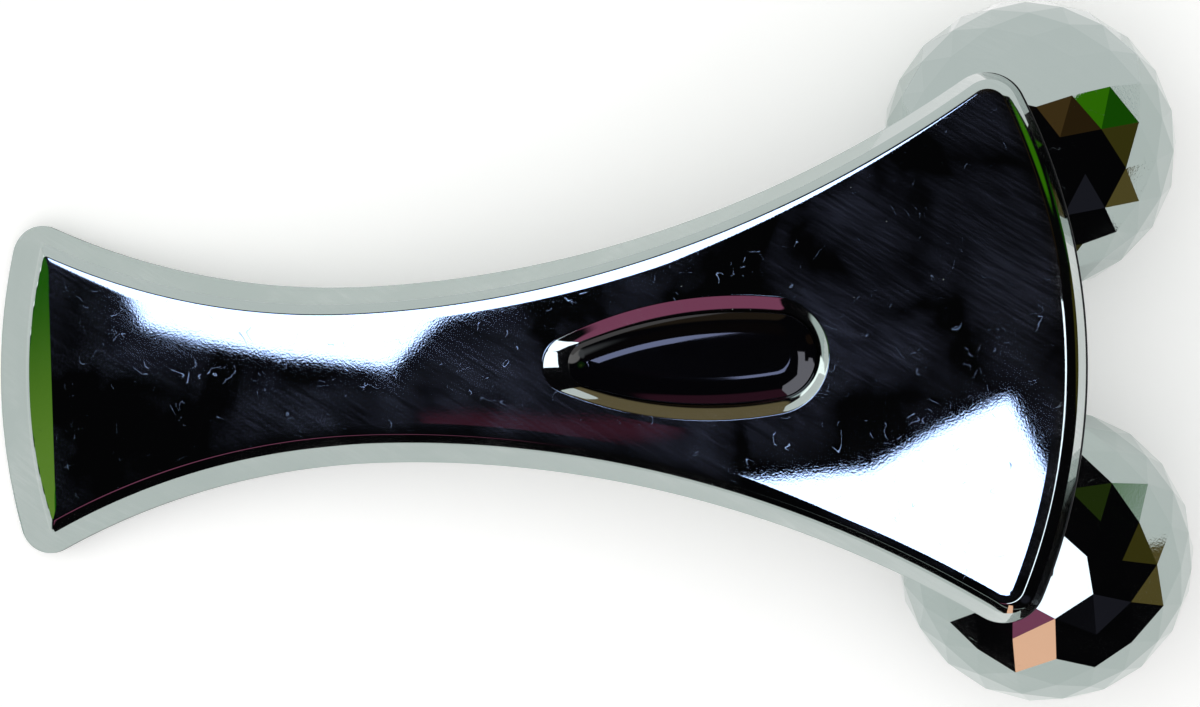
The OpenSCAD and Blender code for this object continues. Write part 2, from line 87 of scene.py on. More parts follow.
def add(tree, kind, inputs=None, **settings):
    """Adds one node. Settings are its properties; inputs are values for its sockets, or sockets to link."""
    node = tree.nodes.new(kind)
    for name, value in settings.items():
        setattr(node, name, value)
    for socket, value in (inputs or {}).items():
        if isinstance(value, bpy.types.NodeSocket):
            tree.links.new(value, node.inputs[socket])
        else:
            node.inputs[socket].default_value = value
    return node


def blank_material(name):
    """A new material with an empty node tree and its output node."""
    material = bpy.data.materials.new(name)
    material.use_nodes = True
    material.node_tree.nodes.clear()
    return material, material.node_tree, material.node_tree.nodes.new("ShaderNodeOutputMaterial")


def surface(name, *grids):
    """One mesh from grids of points: neighbours in a grid form quads, and points that meet are merged."""
    points = []
    faces = []
    first = 0
    for grid in grids:
        rows, cols = grid.shape[:2]
        k = first + np.arange(rows * cols).reshape(rows, cols)
        quads = np.stack([k[:-1, :-1], k[:-1, 1:], k[1:, 1:], k[1:, :-1]], axis=-1)
        faces.extend(quads.reshape(-1, 4).tolist())
        points.append(grid.reshape(-1, 3))
        first += rows * cols
    mesh = bpy.data.meshes.new(name)
    mesh.from_pydata(np.concatenate(points).tolist(), [], faces)
    work = bmesh.new()
    work.from_mesh(mesh)
    bmesh.ops.remove_doubles(work, verts=work.verts, dist=MERGE_WITHIN)
    bmesh.ops.dissolve_degenerate(work, edges=work.edges, dist=SLIVER)
    bmesh.ops.recalc_face_normals(work, faces=work.faces)
    work.to_mesh(mesh)
    work.free()
    piece = bpy.data.objects.new(name, mesh)
    bpy.context.scene.collection.objects.link(piece)
    return piece


side = np.linspace(-FLOOR_REACH, FLOOR_REACH, FLOOR_STEPS)
level = np.zeros((FLOOR_STEPS, FLOOR_STEPS))
floor = surface("floor", np.stack([*np.meshgrid(side, side, indexing="ij"), level], axis=-1))
board, tree, out = blank_material("matt_white_board")
paint = add(tree, "ShaderNodeBsdfDiffuse", {"Color": linear(FLOOR_COLOUR)})
glow = add(tree, "ShaderNodeEmission", {"Color": linear("FFFFFF")})
rays = add(tree, "ShaderNodeLightPath")
seen = add(tree, "ShaderNodeMath", {0: rays.outputs["Is Camera Ray"], 1: rays.outputs["Is Glossy Ray"]},
           operation="MAXIMUM")
seen = add(tree, "ShaderNodeMath", {0: seen.outputs[0], 1: rays.outputs["Is Transmission Ray"]},
           operation="MAXIMUM")
share = add(tree, "ShaderNodeMath", {0: seen.outputs[0], 1: FLOOR_GLOW}, operation="MULTIPLY")
tree.links.new(share.outputs[0], glow.inputs["Strength"])
both = add(tree, "ShaderNodeAddShader", {0: paint.outputs[0], 1: glow.outputs[0]})
tree.links.new(both.outputs[0], out.inputs["Surface"])
floor.data.materials.append(board)

lamp = bpy.data.lights.new("overhead_lamp", "SUN")
lamp.energy = LAMP_ENERGY
lamp.angle = np.radians(LAMP_SPREAD)
lamp_holder = bpy.data.objects.new("overhead_lamp", lamp)
lamp_holder.rotation_euler = Euler(np.radians((*LAMP_TILT, 0)))
lamp_holder.visible_glossy = False
bpy.context.scene.collection.objects.link(lamp_holder)

# Studio room
# The room above the table is nearly black, and pale only near the table's height.
# Soft coloured areas are what mirror-bright metal picks up from the things that stand around a table.
ROOM_DARK = "0B0A0C"
HORIZON = "E6ECEA"
HORIZON_TOP = 5.5
HORIZON_FADE = 9
ROOM_PATCHES = (
    # azimuth, angle from straight up, full to this angle, gone at this angle, colour, strength
    (114, 62, 12, 16, "7C6A4D", 1.2),
    (157, 78, 17, 20, "FFFFFF", 2.3),
    (148, 58, 5, 11, "C8D0D4", 1.6),
    (138, 38, 2, 15, "2C200C", 1.0),
    (2, 71, 9, 11, "4A4218", 1.2),
    (30, 56, 4, 8, "42890A", 1.15),
    (17, 73, 5, 9, "205D08", 1.15),
    (38, 84, 6, 9, "42890A", 0.9),
    (53, 57, 5, 9, "2C3A12", 1.15),
    (52, 24, 5, 7, "574022", 1.15),
    (23, 37, 4, 6, "392814", 1.15),
    (-55, 62, 6, 14, "28262F", 1.1),
    (-117, 55, 11, 14, "BF648A", 0.8),
    (180, 55, 6, 11, "2E7D10", 0.9),
    (182, 56, 1, 5, "86B040", 1.1),
)
world = bpy.data.worlds.new("studio_room")
world.use_nodes = True
tree = world.node_tree
tree.nodes.clear()
look = add(tree, "ShaderNodeTexCoord").outputs["Generated"]
height = add(tree, "ShaderNodeSeparateXYZ", {0: look}).outputs["Z"]
band = add(tree, "ShaderNodeMapRange", {"Value": height, "From Min": np.sin(np.radians(HORIZON_TOP)),
           "From Max": np.sin(np.radians(HORIZON_FADE)), "To Min": 1.0, "To Max": 0.0},
           interpolation_type="SMOOTHSTEP")
colour = add(tree, "ShaderNodeMix", {"Factor": band.outputs[0], 6: linear(ROOM_DARK), 7: linear(HORIZON)},
             data_type="RGBA").outputs[2]
for azimuth, polar, full, gone, hexcode, strength in ROOM_PATCHES:
    a, p = np.radians((azimuth, polar))
    toward = (np.sin(p) * np.cos(a), np.sin(p) * np.sin(a), np.cos(p))
    near = add(tree, "ShaderNodeVectorMath", {0: look, 1: toward}, operation="DOT_PRODUCT")
    soft = add(tree, "ShaderNodeMapRange", {"Value": near.outputs["Value"],
               "From Min": np.cos(np.radians(gone)), "From Max": np.cos(np.radians(full))},
               interpolation_type="SMOOTHSTEP")
    tint = tuple(strength * c for c in linear(hexcode)[:3])
    colour = add(tree, "ShaderNodeMix", {"Factor": soft.outputs[0], 6: colour, 7: (*tint, 1.0)},
                 data_type="RGBA").outputs[2]
shine = add(tree, "ShaderNodeBackground", {"Color": colour})
add(tree, "ShaderNodeOutputWorld", {"Surface": shine.outputs[0]})
bpy.context.scene.world = world

# Light panels and cards
# Soft panels high over the tail end and one low beside the right ball show as white patches in the chrome.
# Of the low cards round the table, the one on the left is pale, those beyond the head and along the right
# are olive and dark, and a narrow peach one shows in a few facets.
HIGH_Z = 1.4
HIGH_COLOUR = "BCCAFF"
HIGH_GLOW = 6.0
NECK_PANEL = ((-1.217, 0.102), (-1.206, 0.084), (-1.163, 0.073), (-1.103, 0.061), (-1.022, 0.05),
              (-0.985, 0.077), (-0.928, 0.088), (-0.833, 0.105), (-0.78, 0.4), (-1.15, 0.4))
HEAD_PANEL = ((-0.789, -0.025), (-0.704, -0.02), (-0.661, 0.0), (-0.619, 0.016), (-0.597, -0.029),
              (-0.612, -0.091), (-0.60, -0.16), (-0.78, -0.16))
MAROON_CARD = ((-1.0, 0.021), (-0.959, 0.0205), (-0.904, 0.0155), (-0.837, 0.013), (-0.817, 0.0045),
               (-0.85, 0.001), (-0.904, 0.004), (-0.995, 0.011))
HUNG_UNDER = 0.002
LOW_Z = 0.32
BALL_PANEL = ((-0.02, 0.02), (0.046, 0.02), (0.048, -0.028), (0.078, -0.032), (0.083, -0.012),
              (0.115, -0.018), (0.13, -0.06), (0.156, -0.11), (0.172, -0.122), (0.172, -0.165),
              (0.15, -0.19), (0.14, -0.3), (0.02, -0.34), (-0.06, -0.32), (-0.1, -0.24),
              (-0.09, -0.18), (0.0, -0.1))
CARD_FOOT_Z = 0.0005
PEACH_CARD = ((0.027, -0.16), (0.051, -0.16))
LEFT_CARD = ((-0.14, 0.052), (0.098, 0.052))
OLIVE_CARD = ((0.316, 0.0), (0.316, -0.135))
DARK_CARD = ((0.235, -0.105), (0.14, -0.215), (-0.01, -0.24), (-0.12, -0.19))


def card(name, points, faces, hexcode, strength):
    """A flat sheet that only mirrors see: it throws no light or shadow and stays out of the picture."""
    mesh = bpy.data.meshes.new(name)
    mesh.from_pydata(points, [], faces)
    material, tree, out = blank_material(name)
    lit = add(tree, "ShaderNodeEmission", {"Color": linear(hexcode), "Strength": strength})
    tree.links.new(lit.outputs[0], out.inputs["Surface"])
    mesh.materials.append(material)
    sheet = bpy.data.objects.new(name, mesh)
    sheet.visible_camera = False
    sheet.visible_diffuse = False
    sheet.visible_shadow = False
    bpy.context.scene.collection.objects.link(sheet)


def flat_card(name, corners, z, hexcode, strength):
    """A level card: one face whose corners (x, y) all lie at height z."""
    points = np.column_stack([corners, np.full(len(corners), z)])
    card(name, points.tolist(), [list(range(len(corners)))], hexcode, strength)


def standing_card(name, foot, height, hexcode, strength):
    """A card on its edge: the foot line just above the table and the same line at its height, with one face
    for each stretch between them."""
    n = len(foot)
    points = np.concatenate([np.column_stack([foot, np.full(n, z)]) for z in (CARD_FOOT_Z, height)])
    card(name, points.tolist(), [(k, k + 1, n + k + 1, n + k) for k in range(n - 1)], hexcode, strength)


flat_card("neck_panel", NECK_PANEL, HIGH_Z, HIGH_COLOUR, HIGH_GLOW)
flat_card("head_panel", HEAD_PANEL, HIGH_Z, HIGH_COLOUR, HIGH_GLOW)
flat_card("ball_panel", BALL_PANEL, LOW_Z, hexcode="EEF0FF", strength=3.2)
flat_card("maroon_card", MAROON_CARD, HIGH_Z - HUNG_UNDER, hexcode="4A1C2A", strength=1.0)
standing_card("left_card", LEFT_CARD, height=0.068, hexcode="EDEBEB", strength=1.35)
standing_card("olive_card", OLIVE_CARD, height=0.080, hexcode="6E5E33", strength=1.15)
standing_card("dark_card", DARK_CARD, height=0.070, hexcode=ROOM_DARK, strength=1.0)
standing_card("peach_card", PEACH_CARD, height=0.088, hexcode="FFBFA0", strength=1.9)

# How the handle lies
# It rests on its two balls and its tail, so its own frame (millimetres, X from the tail, Z from the panel)
# is tilted. The axles' lines meet at the hub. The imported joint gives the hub's place, and the tilt is the
# angle between the axle as it lies in the room and as it droops in the handle's own frame.
MM = 0.001
HUB_X = 123.8
SPLAY = np.radians(58.4)
DROOP = np.radians(42.7)
spins = {joint["name"]: joint for joint in frame["joints"]}
BALL = np.array(spins["left_ball_spin"]["pos_m"])
AXLE = np.array(spins["left_ball_spin"]["axis"])
HUB = BALL - AXLE * BALL[1] / AXLE[1]
TILT = np.arctan2(AXLE[2], AXLE[0]) - np.arctan2(-np.sin(DROOP), np.cos(DROOP) * np.cos(SPLAY))
ALONG = np.array([np.cos(TILT), 0, np.sin(TILT)])
UP = np.array([-np.sin(TILT), 0, np.cos(TILT)])


def lay(points):
    """Handle frame to the room: the hub, plus x along, y across and z up from the panel."""
    x, y, z = (MM * (points[..., i] - (HUB_X if i == 0 else 0)) for i in range(3))
    across = np.array([0, 1, 0])
    return HUB + x[..., None] * ALONG + y[..., None] * across + z[..., None] * UP


# Upper shell
# One moulded ABS cover, polished and chrome plated: flat panel, rounded edge, sloped rim, a teardrop recess
# for the window, and a shallow facet that falls away to the tail. Six screws from below hold it.
# An arc's LESS is how much it shrinks from the parting line up to the panel's edge.
HANDLE_L = 151
NECK_W = 23.8
NECK_X = 54.5
TAIL_ARC_R = 75
HEAD_ARC_R = 77.5
TAIL_SIDE_R = 107
HEAD_SIDE_R = 159
TAIL_CORNER_R = 4.4
HEAD_CORNER_R = 5.4
CORNER_LEAST = 0.4
TAIL_CORNER_LESS = 3.6
HEAD_CORNER_LESS = 1.6
TAIL_ARC_LESS = 6
TAIL_SIDE_LESS = 4
RIM_DROP = 6
RIM_SIDE = 2.5
RIM_TAIL = 6
RIM_HEAD = 0.3
EDGE_W = 1.2
FOLD_W = 0.16
ROLL_W = 1.5
EDGE_STEEP = 47
EDGE_LEAST = 33
ROLL_STEEP = 5
PROFILE_STEPS = 200
RIM_FIRST = 0.04
RIM_STEPS = 10
EDGE_STEPS = 11
FOLD_STEPS = 7
ROLL_STEPS = 6
HEM = 0.08
CREASE_IN = 0.04
SKIN_IN = 0.03
WALL = 1.8
SEAL_T = 0.3
FACET_X = 10.3
FACET_SLOPE = np.tan(np.radians(8))
OUTLINE_STEPS = (44, 16, 84, 222, 24, 60)
WINDOW_X = HUB_X - 40.1
WINDOW_L = 33.2
WINDOW_TIP_R = 2.9
WINDOW_END_R = 5.4
WINDOW_SIDE_R = 60
FRAME_IN = 3.4
FRAME_SHORT = 1.6
FRAME_TIP_R = 3.6
FRAME_END_R = 7.5
FRAME_SIDE_R = 54
FRAME_ROLL = 0.15
DISH_RUN = (0, 0.10, 0.5, 1)
DISH_SLOPE = (0, 28, 27, 15)
DISH_STEPS = (9, 16)
LIP_GAP = 0.12
LIP_T = 0.12
GASKET_GAP = 0.55
GASKET_LOWER = 0.04
RECESS_Z = -0.9
PAD_Z = -3.8
PAD_OUT = 2.5
DROP_STEPS = (40, 44, 36)
RUNG_LEAN = 3
RUNG_RUN = 20
RUNG_STEPS = 7
UPPER_SHARP = 7.5


def meet(c1, r1, c2, r2, turn):
    """Point at r1 from c1 and r2 from c2: a along the line of centres, then the height of the triangle."""
    v = c2 - c1
    d = np.hypot(*v)
    a = (r1 * r1 - r2 * r2 + d * d) / (2 * d)
    return c1 + a * v / d + turn * np.sqrt(r1 * r1 - a * a) * np.array([-v[1], v[0]]) / d


def heading(v):
    """Angle of a vector from the x axis: the arc tangent of y over x, in its own quadrant."""
    return np.arctan2(v[1], v[0])


def arc(centre, radius, start, stop, steps):
    """Points at centre + radius (cos a, sin a), from one angle a towards another without the last one."""
    angle = start + (stop - start) * np.arange(steps) / steps
    return centre + radius * np.stack([np.cos(angle), np.sin(angle)], axis=-1)


def outline(rise, inset):
    """Left half of the handle from tail tip to head tip: six arcs, each centre set so that its circle
    touches the next. rise is 0 at the parting line and 1 at the panel edge; inset moves it all inward."""
    inset = inset + SKIN_IN
    tail_c = max(CORNER_LEAST, TAIL_CORNER_R - TAIL_CORNER_LESS * rise - inset)
    head_c = max(CORNER_LEAST, HEAD_CORNER_R - HEAD_CORNER_LESS * rise - inset)
    tail_r = TAIL_ARC_R - TAIL_ARC_LESS * rise - inset
    head_r = HEAD_ARC_R - inset
    side_t = TAIL_SIDE_R - TAIL_SIDE_LESS * rise + inset
    side_h = HEAD_SIDE_R + inset
    half_neck = NECK_W / 2 - RIM_SIDE * rise - inset
    head_x = HANDLE_L - RIM_HEAD * rise - inset
    ct = np.array([RIM_TAIL * rise + inset + tail_r, 0])
    ch = np.array([head_x - head_r, 0])
    st = np.array([NECK_X, half_neck + side_t])
    sh = np.array([NECK_X, half_neck + side_h])
    kt = meet(ct, tail_r - tail_c, st, side_t + tail_c, 1)
    kh = meet(ch, head_r - head_c, sh, side_h + head_c, -1)
    at, bt = heading(kt - ct), heading(st - kt)
    ah, bh = heading(kh - ch), heading(sh - kh)
    n = OUTLINE_STEPS
    quarter = np.pi / 2
    return np.concatenate([
        arc(ct, tail_r, np.pi, at, n[0]),
        arc(kt, tail_c, at, bt, n[1]),
        arc(st, side_t, bt - np.pi, -quarter, n[2]),
        arc(sh, side_h, -quarter, bh - np.pi, n[3]),
        arc(kh, head_c, bh, ah, n[4]),
        arc(ch, head_r, ah, 0, n[5]),
        [[head_x, 0]]])


def teardrop(x0, length, tip_r, end_r, side_r, grow):
    """Half of a teardrop: tip arc, long side arc and end arc, tangent to each other."""
    c1 = np.array([x0 + tip_r, 0])
    c2 = np.array([x0 + length - end_r, 0])
    s = meet(c1, side_r - tip_r, c2, side_r - end_r, -1)
    a1, a2 = heading(c1 - s), heading(c2 - s)
    n = DROP_STEPS
    return np.concatenate([
        arc(c1, tip_r + grow, np.pi, a1, n[0]),
        arc(s, side_r + grow, a1, a2, n[1]),
        arc(c2, end_r + grow, a2, 0, n[2]),
        [[x0 + length + grow, 0]]])


def window_line(grow):
    """The window's teardrop, grown outward all round."""
    return teardrop(WINDOW_X, WINDOW_L, WINDOW_TIP_R, WINDOW_END_R, WINDOW_SIDE_R, grow)


def frame_line(grow):
    """The recess's wider teardrop: FRAME_IN longer than the window at its tip, and FRAME_SHORT less than
    that at its end."""
    length = WINDOW_L + 2 * FRAME_IN - FRAME_SHORT
    return teardrop(WINDOW_X - FRAME_IN, length, FRAME_TIP_R, FRAME_END_R, FRAME_SIDE_R, grow)


def mirrored(rows):
    """The same points on the other side of the middle line: y changes its sign."""
    return rows * np.array([1, -1, 1])


def ring(half, z):
    """A half outline and its mirror image as one closed row of points at height z."""
    z = np.broadcast_to(z, len(half))
    left = np.column_stack([half, z])
    return np.concatenate([left, mirrored(left[-2::-1])])


def facet(rows):
    """Presses points down to the tail facet's plane, which falls at a fixed slope from FACET_X."""
    plane = np.minimum(0, (rows[..., 0] - FACET_X) * FACET_SLOPE)
    rows[..., 2] = np.minimum(rows[..., 2], plane)
    return rows


def crease(x, inset):
    """Panel edge with its tail part pulled to the straight line at x: a point's share of the length along
    the edge becomes its share of the line."""
    half = outline(1, inset)
    k = int(np.argmax(half[:, 0] > x))
    run = np.concatenate([[0], np.cumsum(np.hypot(*np.diff(half[:k + 1], axis=0).T))])
    half[:k, 1] = half[k, 1] * run[:k] / run[k]
    half[:k, 0] = x
    return half


def plate(outer, hole, z):
    """Left half of a flat sheet with a hole on its middle line, as straight rungs. A rung runs from a point
    of the outline to the middle line, or to the hole where that is in the way, and leans a little."""
    first = int(np.argmax(outer[:, 0] > hole[0, 0] - RUNG_LEAN))
    last = first + len(hole) - 1
    run = np.concatenate([[0], np.cumsum(np.hypot(*np.diff(outer, axis=0).T))])
    x = outer[:, 0] + RUNG_LEAN * np.clip(run / RUNG_RUN, 0, 1)
    x[last:] = np.interp(outer[last:, 0], outer[[last, -1], 0], [hole[-1, 0], outer[-1, 0]])
    inner = np.column_stack([x, np.zeros(len(x))])
    inner[first:last + 1] = hole
    t = np.linspace(0, 1, RUNG_STEPS)[:, None, None]
    rungs = outer + t * (inner - outer)
    return np.concatenate([rungs, np.full((*rungs.shape[:2], 1), float(z))], axis=-1)


# The rim rises straight to the panel's edge. Over the edge the slope angle falls in straight runs between
# the steep values, and the height is the running sum of its tangent.
BOTTOM_Z = SEAL_T / 2 - RIM_DROP
run_in = np.linspace(0, EDGE_W + ROLL_W, PROFILE_STEPS)
slope = np.tan(np.radians(np.interp(run_in, (0, EDGE_W, EDGE_W + FOLD_W, EDGE_W + ROLL_W),
                                    (EDGE_STEEP, EDGE_LEAST, ROLL_STEEP, 0))))
climb = np.concatenate([[0], np.cumsum((slope[1:] + slope[:-1]) / 2 * np.diff(run_in))])
edge_drop = climb[-1]
rim = [ring(outline(0, HEM), BOTTOM_Z), ring(outline(0, 0), BOTTOM_Z + HEM)]
rim += [ring(outline(t, 0), BOTTOM_Z + (-edge_drop - BOTTOM_Z) * t)
        for t in np.linspace(RIM_FIRST, 1, RIM_STEPS)]
stations = np.concatenate([np.linspace(0, EDGE_W, EDGE_STEPS)[1:],
                           EDGE_W + np.linspace(0, FOLD_W, FOLD_STEPS)[1:],
                           np.linspace(EDGE_W + FOLD_W, EDGE_W + ROLL_W, ROLL_STEPS)[1:]])
for d in stations:
    rim.append(ring(outline(1, d), np.interp(d, run_in, climb) - edge_drop))
rim = facet(np.array(rim))
panel_edge = crease(FACET_X, EDGE_W + ROLL_W + CREASE_IN)
panel = [ring(panel_edge, 0)]
sheet = plate(panel_edge, frame_line(FRAME_ROLL), 0)

# The recess blends from its own teardrop to the window's, and its depth is the running sum of the tangent
# of its slope angle, scaled to end at RECESS_Z. A lip, the gasket's groove and the tape's pad lie below.
t = np.concatenate([np.linspace(0, DISH_RUN[1], DISH_STEPS[0]),
                    np.linspace(DISH_RUN[1], 1, DISH_STEPS[1])[1:]])
fall = np.tan(np.radians(np.interp(t, DISH_RUN, DISH_SLOPE)))
fall = np.concatenate([[0], np.cumsum((fall[1:] + fall[:-1]) / 2 * np.diff(t))])
frame_top = frame_line(FRAME_ROLL)
lip_line = window_line(LIP_GAP)
dish = [ring(frame_top + u * (lip_line - frame_top), RECESS_Z * f / fall[-1]) for u, f in zip(t, fall)]
dish += [ring(lip_line, RECESS_Z - LIP_T), ring(window_line(GASKET_GAP), RECESS_Z - LIP_T - GASKET_LOWER),
         ring(window_line(GASKET_GAP), PAD_Z), ring(window_line(PAD_OUT), PAD_Z),
         ring(window_line(PAD_OUT), -WALL)]
ceiling = plate(outline(1, WALL), window_line(PAD_OUT), -WALL)
inside = [ring(outline(1, WALL), -WALL), ring(outline(0, WALL), BOTTOM_Z), ring(outline(0, HEM), BOTTOM_Z)]
upper = surface("upper_shell_skin", lay(np.concatenate([rim, panel])), lay(sheet), lay(mirrored(sheet)),
                lay(np.array(dish)), lay(ceiling), lay(mirrored(ceiling)), lay(np.array(inside)))
upper.data.shade_smooth()
upper.data.set_sharp_from_angle(angle=np.radians(UPPER_SHARP))

# Chrome plate on moulded ABS: copper, nickel and a thin hard layer of chromium over a polished moulding.
# It mirrors like dark glass. Handling leaves hairline scratches, a few specks of dust and faint smears.
# Real hairlines, dust and moulding grain are finer than a picture can show, so they are drawn coarser.
CHROME = "A3AFAC"
POLISH = 0.014
SMEAR_MM = 16
SMEAR_SPAN = (0.44, 0.66)
SMEAR_ROUGH = 0.022
SMEAR_FILM = 1.0
FILM_ROUGH = 0.25
STREAK_MM = (6, 0.35, 6)
STREAK_TURN = 34
STREAK_SPAN = (0.40, 0.75)
STREAK_LEAST = 0.25
HAIR_MM = (6, 4)
HAIR_PLACE = ((0, 0.017, 0), (0.031, 0.017, 0.013))
HAIR_WIDTH = 0.003
HAIR_CORE = 0.4
HAIR_PIECE = 0.45
HAIR_SPAN = (0.58, 0.64)
HAIR_ROUGH = 0.18
GRAIN_MM = 0.28
DUST_MM = 2.2
DUST_SIZE = 0.03
DUST_CORE = 0.6


def plated(name, smear, grain, dust):
    """Chrome with wiped smears, curved hairlines, a fine orange-peel grain and specks of dust. A smear is a
    cloud times fine streaks. A hairline is where a noise crosses its middle value, kept in short pieces.
    A speck is the core of a few of the cells."""
    material, tree, out = blank_material(name)
    place = add(tree, "ShaderNodeTexCoord").outputs["Object"]
    cloud = add(tree, "ShaderNodeTexNoise", {"Vector": place, "Scale": 1 / (SMEAR_MM * MM), "Detail": 3.0,
                "Distortion": 0.5})
    spots = add(tree, "ShaderNodeMapRange", {"Value": cloud.outputs["Fac"], "From Min": SMEAR_SPAN[0],
                "From Max": SMEAR_SPAN[1]})
    turned = add(tree, "ShaderNodeMapping", {"Vector": place, "Rotation": (0, 0, np.radians(STREAK_TURN))})
    drawn = add(tree, "ShaderNodeMapping", {"Vector": turned.outputs[0],
                "Scale": [1 / (size * MM) for size in STREAK_MM]})
    wipes = add(tree, "ShaderNodeTexNoise", {"Vector": drawn.outputs[0], "Scale": 1.0, "Detail": 3.0,
                "Distortion": 0.2})
    wipes = add(tree, "ShaderNodeMapRange", {"Value": wipes.outputs["Fac"], "From Min": STREAK_SPAN[0],
                "From Max": STREAK_SPAN[1], "To Min": STREAK_LEAST})
    smears = add(tree, "ShaderNodeMath", {0: spots.outputs[0], 1: wipes.outputs[0]}, operation="MULTIPLY")
    hair = 0.0
    for size, shift in zip(HAIR_MM, HAIR_PLACE):
        moved = add(tree, "ShaderNodeMapping", {"Vector": place, "Location": shift})
        bent = add(tree, "ShaderNodeTexNoise", {"Vector": moved.outputs[0], "Scale": 1 / (size * MM),
                   "Detail": 1.5, "Distortion": 0.8})
        level = add(tree, "ShaderNodeMath", {0: bent.outputs["Fac"], 1: 0.5}, operation="SUBTRACT")
        away = add(tree, "ShaderNodeMath", {0: level.outputs[0]}, operation="ABSOLUTE")
        line = add(tree, "ShaderNodeMapRange", {"Value": away.outputs[0], "From Min": HAIR_WIDTH,
                   "From Max": HAIR_WIDTH * HAIR_CORE})
        gate = add(tree, "ShaderNodeTexNoise", {"Vector": moved.outputs[0],
                   "Scale": 1 / (HAIR_PIECE * size * MM)})
        part = add(tree, "ShaderNodeMapRange", {"Value": gate.outputs["Fac"], "From Min": HAIR_SPAN[0],
                   "From Max": HAIR_SPAN[1]})
        piece = add(tree, "ShaderNodeMath", {0: line.outputs[0], 1: part.outputs[0]}, operation="MULTIPLY")
        hair = add(tree, "ShaderNodeMath", {0: hair, 1: piece.outputs[0]}, operation="MAXIMUM").outputs[0]
    cells = add(tree, "ShaderNodeTexVoronoi", {"Vector": place, "Scale": 1 / (DUST_MM * MM)})
    pick = add(tree, "ShaderNodeSeparateColor", {0: cells.outputs["Color"]})
    few = add(tree, "ShaderNodeMath", {0: pick.outputs[0], 1: 1 - dust}, operation="GREATER_THAN")
    speck = add(tree, "ShaderNodeMapRange", {"Value": cells.outputs["Distance"], "From Min": DUST_SIZE,
                "From Max": DUST_SIZE * DUST_CORE})
    dots = add(tree, "ShaderNodeMath", {0: speck.outputs[0], 1: few.outputs[0]}, operation="MULTIPLY")
    metal = add(tree, "ShaderNodeMath", {0: 1.0, 1: dots.outputs[0]}, operation="SUBTRACT")
    haze = add(tree, "ShaderNodeMath", {0: smears.outputs[0], 1: smear * SMEAR_ROUGH, 2: POLISH},
               operation="MULTIPLY_ADD")
    scratch = add(tree, "ShaderNodeMath", {0: hair, 1: HAIR_ROUGH}, operation="MULTIPLY")
    rough = add(tree, "ShaderNodeMath", {0: haze.outputs[0], 1: scratch.outputs[0]}, operation="MAXIMUM")
    film = add(tree, "ShaderNodeMath", {0: smears.outputs[0], 1: smear * SMEAR_FILM}, operation="MULTIPLY")
    peel = add(tree, "ShaderNodeTexNoise", {"Vector": place, "Scale": 1 / (GRAIN_MM * MM), "Detail": 2.0})
    bumps = add(tree, "ShaderNodeBump", {"Height": peel.outputs["Fac"], "Distance": grain * MM,
                "Strength": 1.0})
    mirror = add(tree, "ShaderNodeBsdfPrincipled", {
        "Base Color": linear(CHROME), "Metallic": metal.outputs[0], "Roughness": rough.outputs[0],
        "Coat Weight": film.outputs[0], "Coat Roughness": FILM_ROUGH, "Normal": bumps.outputs[0]})
    tree.links.new(mirror.outputs[0], out.inputs["Surface"])
    return material


shell_chrome = plated("chrome_plated_abs_shell", smear=1.0, grain=0.0006, dust=0.16)
upper.data.materials.append(shell_chrome)
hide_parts("upper_shell")
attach(upper, "handle")

# Lower shell
# The plated cover below the parting line: a rounded belly, the dome that holds both axles and a small flat
# on which the tail rests. It is screwed up into the upper shell, and its screw holes are plugged.
BELLY_TAIL = 4.2
BELLY_MID = 6.5
BELLY_HEAD = 2.8
BELLY_HEAD_X = HUB_X - 9
BELLY_IN = 6
BELLY_BEND = (0.02, 0.08)
BELLY_STEPS = 16
LINING_STEPS = 8
LINING_HEM = 0.06
FILL_STEPS = 13
DOME_R = 19.5
DOME_WALL = 2
DOME_STEPS = 96
HOLLOW_STEPS = 64
TRIM_R = 30
TRIM_TOP = 25
COLLAR_R = 5
COLLAR_GAP = 0.05
LAND_S = DOME_R - 0.5
AXLE_BORE_R = 2.6
ROOT_S = 8.5
PAST_SHELL = 30
PLUG_R = 2.7
PLUG_GAP = 0.08
PLUG_DEEP = 2.2
HEAD_POSTS = ((-19.8, 0.616), (10.2, 0.65))
MIDDLE_POSTS_X = (20, WINDOW_X - 21.7)
LOWER_SHARP = 30


def ease(t):
    """Smooth step from 0 to 1: half of 1 - cos(pi t), with t kept between 0 and 1."""
    return (1 - np.cos(np.pi * np.clip(t, 0, 1))) / 2


def belly(x):
    """Depth of the belly: it eases from the tail to the neck and from the neck to the head."""
    fore = BELLY_TAIL + (BELLY_MID - BELLY_TAIL) * ease(x / NECK_X)
    aft = BELLY_MID + (BELLY_HEAD - BELLY_MID) * ease((x - NECK_X) / (BELLY_HEAD_X - NECK_X))
    return np.where(x < NECK_X, fore, aft)


def half_width(x):
    """Half the handle's width towards the head: half the neck plus how far the side arc has curved away,
    R - sqrt(R^2 - d^2) at a distance d from the neck."""
    return NECK_W / 2 + HEAD_SIDE_R - np.sqrt(HEAD_SIDE_R ** 2 - (x - NECK_X) ** 2)


def bowl(inset, top, floor_gap, angles):
    """Rows of the belly: the inset grows as 1 - cos and the depth as sin of the angle."""
    rows = []
    for a in angles:
        half = outline(0, inset + (BELLY_IN - inset) * (1 - np.cos(a)))
        rows.append(ring(half, top - (belly(half[:, 0]) - floor_gap) * np.sin(a)))
    return np.array(rows)


def closing(row, steps):
    """Fills a closed row straight across, from each left point to its mirror image."""
    left = row[:len(row) // 2 + 1]
    t = np.linspace(0, 1, steps)[:, None, None]
    return left + t * (mirrored(left) - left)


